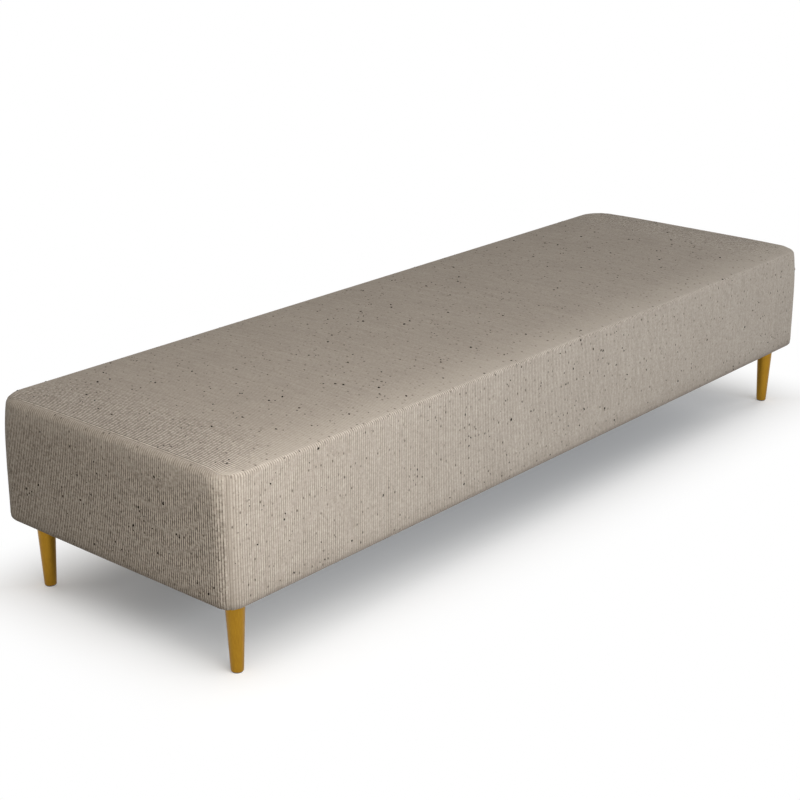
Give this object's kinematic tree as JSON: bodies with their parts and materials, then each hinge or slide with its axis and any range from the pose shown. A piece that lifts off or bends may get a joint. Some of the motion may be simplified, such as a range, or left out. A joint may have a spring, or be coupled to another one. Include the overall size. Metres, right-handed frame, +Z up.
{
  "type": "upholstered bench",
  "caption": "Long fully upholstered box bench with a softly crowned seat, sewn end panels and tapered round brass-coloured legs.",
  "frame": {"origin": "on the floor under the middle of the bench", "axes": "+X along the bench's length, +Z up; the front long side faces -Y"},
  "size_m": [2, 0.635, 0.41],
  "materials": {
    "cover_fabric": "ribbed wool-look tweed with dark nubs, warm grey-beige, matt",
    "wadding": "soft polyester wadding, matt",
    "foam": "cut polyurethane foam, matt",
    "dust_cover": "black non-woven sheet, matt",
    "plywood": "sanded birch plywood, unfinished",
    "pine": "planed pine, unfinished",
    "leg_brass": "satin brass-coloured metal",
    "glide_plastic": "dark nylon, matt",
    "steel": "zinc-plated steel, satin"
  },
  "bodies": {
    "root": {"cover_main_panel": "cover_fabric", "cover_left_panel": "cover_fabric", "cover_right_panel": "cover_fabric", "wadding_wrap": "wadding", "seat_foam": "foam", "side_pad_front": "foam", "side_pad_rear": "foam", "side_pad_left": "foam", "side_pad_right": "foam", "dust_cover": "dust_cover", "seat_deck": "plywood", "frame_front_panel": "plywood", "frame_rear_panel": "plywood", "frame_left_panel": "plywood", "frame_right_panel": "plywood", "cross_rib_1": "plywood", "cross_rib_2": "plywood", "cross_rib_3": "plywood", "corner_block_front_left": "pine", "corner_block_front_right": "pine", "corner_block_rear_left": "pine", "corner_block_rear_right": "pine", "leg_front_left": "leg_brass", "leg_front_right": "leg_brass", "leg_rear_left": "leg_brass", "leg_rear_right": "leg_brass", "foot_glide_front_left": "glide_plastic", "foot_glide_front_right": "glide_plastic", "foot_glide_rear_left": "glide_plastic", "foot_glide_rear_right": "glide_plastic", "leg_stud_front_left": "steel", "leg_stud_front_right": "steel", "leg_stud_rear_left": "steel", "leg_stud_rear_right": "steel", "tee_nut_front_left": "steel", "tee_nut_front_right": "steel", "tee_nut_rear_left": "steel", "tee_nut_rear_right": "steel", "block_screw_front_left_long": "steel", "block_screw_front_left_end": "steel", "block_screw_front_right_long": "steel", "block_screw_front_right_end": "steel", "block_screw_rear_left_long": "steel", "block_screw_rear_left_end": "steel", "block_screw_rear_right_long": "steel", "block_screw_rear_right_end": "steel", "deck_screw_1": "steel", "deck_screw_2": "steel", "deck_screw_3": "steel", "deck_screw_4": "steel", "deck_screw_5": "steel", "deck_screw_6": "steel", "deck_screw_7": "steel", "deck_screw_8": "steel"}
  },
  "joints": []
}
